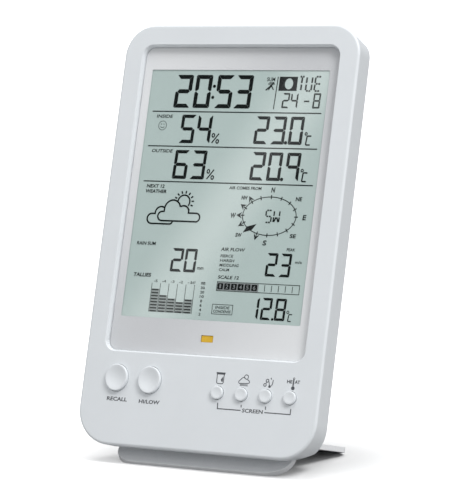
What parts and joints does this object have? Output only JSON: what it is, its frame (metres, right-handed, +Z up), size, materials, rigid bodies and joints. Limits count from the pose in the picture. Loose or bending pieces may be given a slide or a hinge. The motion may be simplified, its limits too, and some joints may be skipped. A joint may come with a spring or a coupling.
{
  "type": "desktop weather station console",
  "caption": "Slim upright weather display console with a large segment LCD, round front keys, rear controls and battery bay, leaning back on a clip-on arched table stand.",
  "frame": {"origin": "centre of the whole object over the surface it rests on", "axes": "+Z up, +X to the viewer's right, -Y towards the viewer the display faces"},
  "size_m": [0.1178, 0.0752, 0.194],
  "materials": {
    "case": "fine satin moulded texture",
    "key": "smooth satin",
    "stand": "semi-gloss moulded",
    "lens": "clear polished acrylic with a printed border",
    "tape": "matte film",
    "lcd": "grey-green liquid crystal cell, polished",
    "diffuser": "opal white, satin",
    "white_plastic": "plain moulded",
    "amber": "translucent yellow",
    "circuit": "green solder mask",
    "flex": "polyimide film",
    "contact_rubber": "soft matte",
    "black_plastic": "moulded",
    "red_wire": "insulated wire",
    "metal": "bright plated",
    "battery": "glossy printed sleeve, no lettering"
  },
  "bodies": {
    "console": {"alert_led": "white_plastic", "alert_window": "amber", "antenna_wire": "red_wire", "backlight_strip": "circuit", "battery_1": "battery", "battery_2": "battery", "battery_3": "battery", "battery_lead_negative": "black_plastic", "battery_lead_positive": "red_wire", "battery_link_left": "metal", "battery_link_right": "metal", "battery_terminal_negative": "metal", "battery_terminal_positive": "metal", "board_ribbon": "flex", "board_screw_1": "metal", "board_screw_2": "metal", "board_screw_3": "metal", "board_screw_4": "metal", "buzzer": "black_plastic", "case_screw_1": "metal", "case_screw_2": "metal", "case_screw_3": "metal", "case_screw_4": "metal", "contact_strip": "contact_rubber", "display_lens": "lens", "dome_sheet": "contact_rubber", "front_case": "case", "indoor_sensor": "white_plastic", "key_board": "circuit", "key_board_screw_1": "metal", "key_board_screw_2": "metal", "lcd_glass": "lcd", "lcd_holder": "white_plastic", "lens_tape": "tape", "light_guide": "diffuser", "main_board": "circuit", "rear_cover": "case", "receiver_module": "circuit", "unit_switch_body": "metal"},
    "memory_key": {"memory_key": "key"},
    "high_low_key": {"high_low_key": "key"},
    "rain_key": {"rain_key": "key"},
    "pressure_key": {"pressure_key": "key"},
    "wind_key": {"wind_key": "key"},
    "index_key": {"index_key": "key"},
    "clock_key": {"clock_key": "key"},
    "alarm_key": {"alarm_key": "key"},
    "alert_key": {"alert_key": "key"},
    "down_key": {"down_key": "key"},
    "up_key": {"up_key": "key"},
    "scan_key": {"scan_key": "key"},
    "reset_key": {"reset_key": "key"},
    "light_key": {"light_key": "key"},
    "unit_switch_knob": {"unit_switch_knob": "black_plastic"},
    "battery_door": {"battery_door": "case"},
    "table_stand": {"table_stand": "stand"}
  },
  "joints": [
    {"name": "memory_press", "type": "slide", "parent": "console", "child": "memory_key", "axis": [0, 0.9655, -0.2605], "range_m": [0, 0.0006], "stiffness_N_per_m": 900},
    {"name": "high_low_press", "type": "slide", "parent": "console", "child": "high_low_key", "axis": [0, 0.9655, -0.2605], "range_m": [0, 0.0006], "stiffness_N_per_m": 900},
    {"name": "rain_press", "type": "slide", "parent": "console", "child": "rain_key", "axis": [0, 0.9655, -0.2605], "range_m": [0, 0.0006], "stiffness_N_per_m": 900},
    {"name": "pressure_press", "type": "slide", "parent": "console", "child": "pressure_key", "axis": [0, 0.9655, -0.2605], "range_m": [0, 0.0006], "stiffness_N_per_m": 900},
    {"name": "wind_press", "type": "slide", "parent": "console", "child": "wind_key", "axis": [0, 0.9655, -0.2605], "range_m": [0, 0.0006], "stiffness_N_per_m": 900},
    {"name": "index_press", "type": "slide", "parent": "console", "child": "index_key", "axis": [0, 0.9655, -0.2605], "range_m": [0, 0.0006], "stiffness_N_per_m": 900},
    {"name": "clock_press", "type": "slide", "parent": "console", "child": "clock_key", "axis": [0, -0.9655, 0.2605], "range_m": [0, 0.0006], "stiffness_N_per_m": 900},
    {"name": "alarm_press", "type": "slide", "parent": "console", "child": "alarm_key", "axis": [0, -0.9655, 0.2605], "range_m": [0, 0.0006], "stiffness_N_per_m": 900},
    {"name": "alert_press", "type": "slide", "parent": "console", "child": "alert_key", "axis": [0, -0.9655, 0.2605], "range_m": [0, 0.0006], "stiffness_N_per_m": 900},
    {"name": "down_press", "type": "slide", "parent": "console", "child": "down_key", "axis": [0, -0.9655, 0.2605], "range_m": [0, 0.0006], "stiffness_N_per_m": 900},
    {"name": "up_press", "type": "slide", "parent": "console", "child": "up_key", "axis": [0, -0.9655, 0.2605], "range_m": [0, 0.0006], "stiffness_N_per_m": 900},
    {"name": "scan_press", "type": "slide", "parent": "console", "child": "scan_key", "axis": [0, -0.9655, 0.2605], "range_m": [0, 0.0006], "stiffness_N_per_m": 900},
    {"name": "reset_press", "type": "slide", "parent": "console", "child": "reset_key", "axis": [0, -0.9655, 0.2605], "range_m": [0, 0.0006], "stiffness_N_per_m": 900},
    {"name": "light_press", "type": "slide", "parent": "console", "child": "light_key", "axis": [0, -0.2605, -0.9655], "range_m": [0, 0.0006], "stiffness_N_per_m": 900},
    {"name": "unit_switch_slide", "type": "slide", "parent": "console", "child": "unit_switch_knob", "axis": [1, 0, 0], "range_m": [0, 0.0025]},
    {"name": "battery_door_lift", "type": "slide", "parent": "console", "child": "battery_door", "axis": [0, 0.9655, -0.2605], "range_m": [0, 0.03]},
    {"name": "stand_removal", "type": "slide", "parent": "console", "child": "table_stand", "axis": [0, -0.2605, -0.9655], "range_m": [0, 0.02]}
  ]
}
